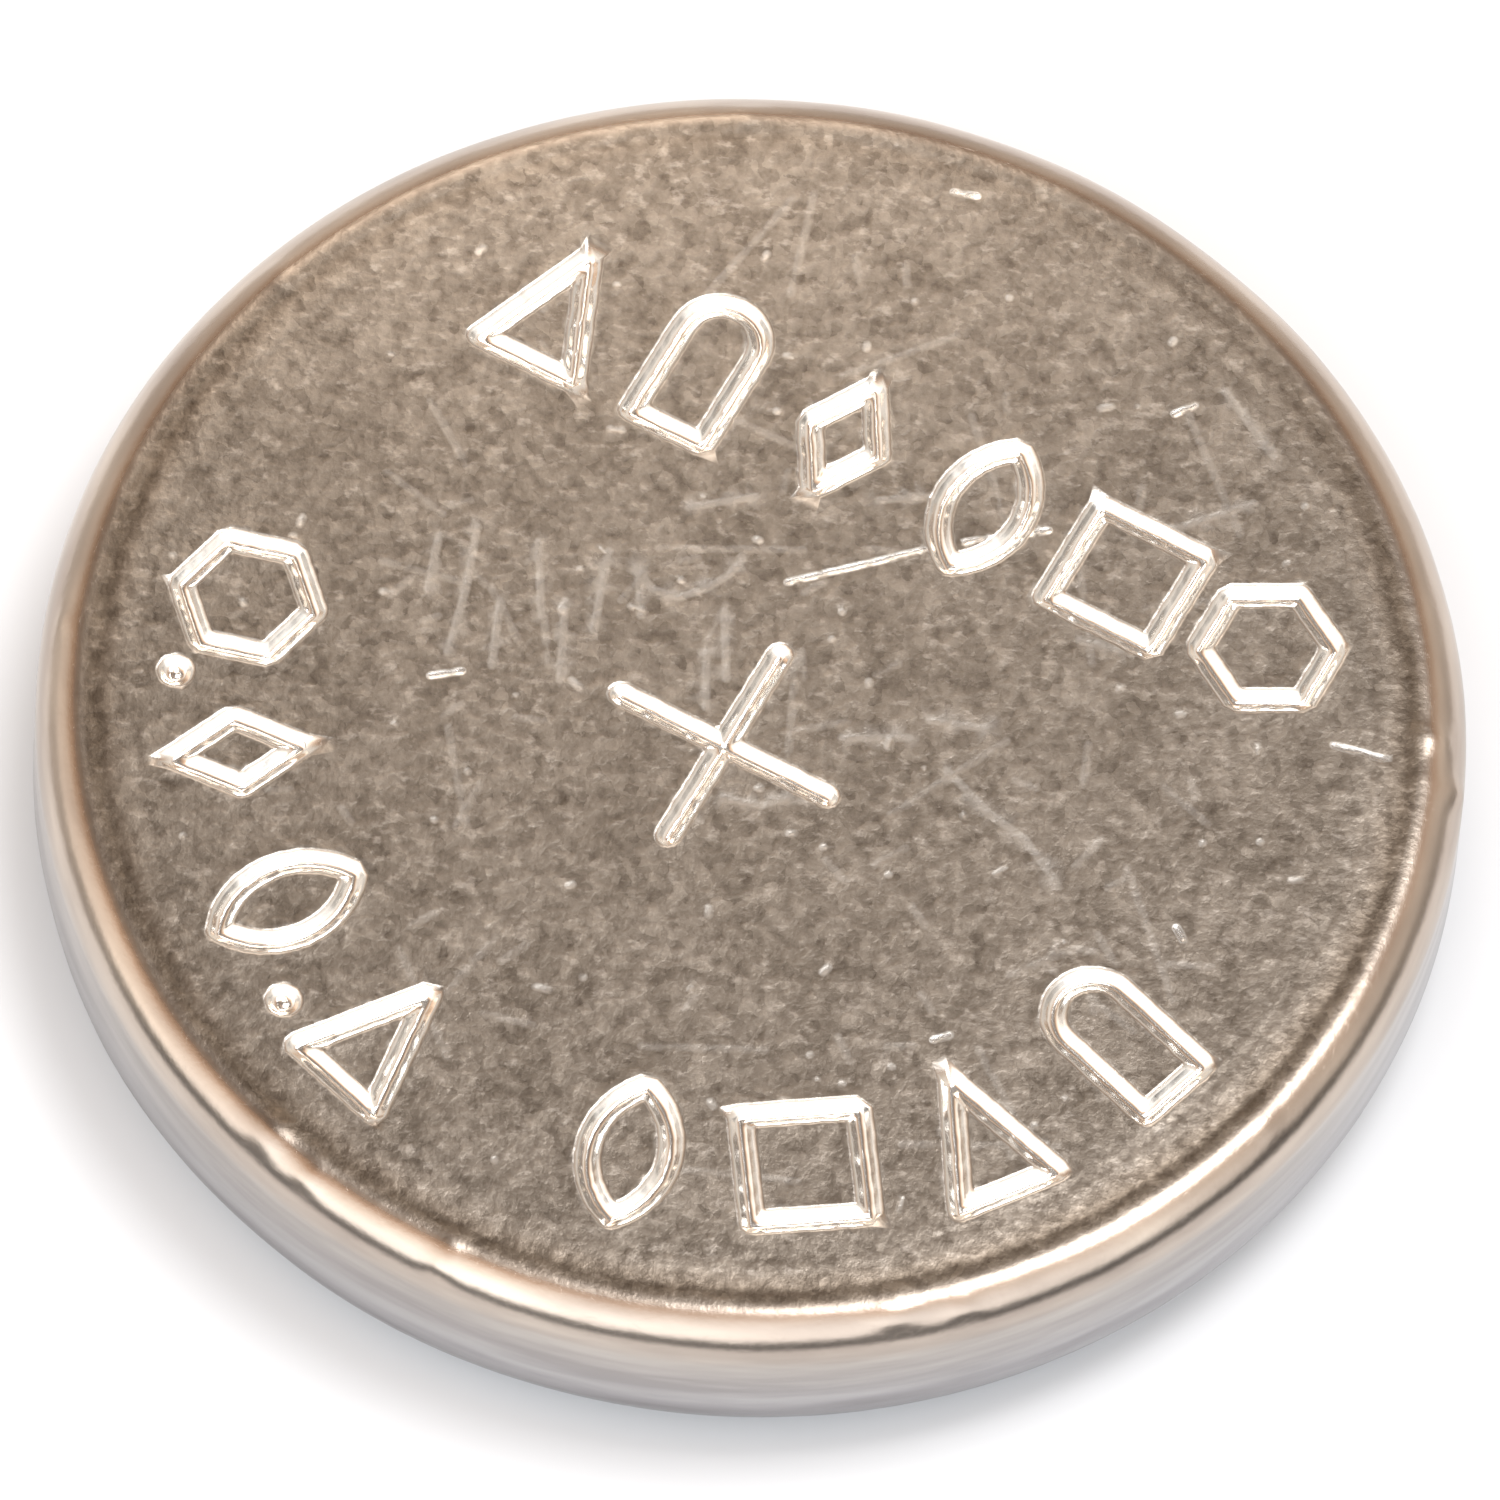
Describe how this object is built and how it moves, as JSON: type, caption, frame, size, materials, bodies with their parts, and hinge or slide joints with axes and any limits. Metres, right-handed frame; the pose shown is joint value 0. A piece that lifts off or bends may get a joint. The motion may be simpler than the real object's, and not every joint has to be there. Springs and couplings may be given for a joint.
{
  "type": "alkaline button cell",
  "caption": "Flat round alkaline button cell: a plated steel can crimped over a nylon seal and a raised negative cap, with a stamped polarity cross.",
  "frame": {"origin": "centre of the negative contact face, on the surface that the cell stands on", "axes": "+Z along the cell's axis towards the positive face; +Y towards the straight row of stamped marks, along one bar of the polarity cross"},
  "size_m": [0.0116, 0.0116, 0.0021],
  "materials": {
    "can_steel": "nickel plated deep drawn steel, satin face with fine wear scratches, bright stamped strokes and rim",
    "cap_steel": "nickel faced clad strip, bright rolled finish",
    "nylon": "natural moulded nylon, slightly translucent",
    "cathode_mix": "pressed manganese dioxide and graphite powder",
    "cellophane": "cellulose film, smooth",
    "fleece": "non-woven fibre felt",
    "zinc_paste": "zinc powder in alkaline gel"
  },
  "bodies": {
    "root": {"positive_can": "can_steel", "sealing_gasket": "nylon", "negative_cap": "cap_steel", "cathode_pellet": "cathode_mix", "barrier_film": "cellophane", "absorbent_pad": "fleece", "zinc_gel": "zinc_paste"}
  },
  "joints": []
}
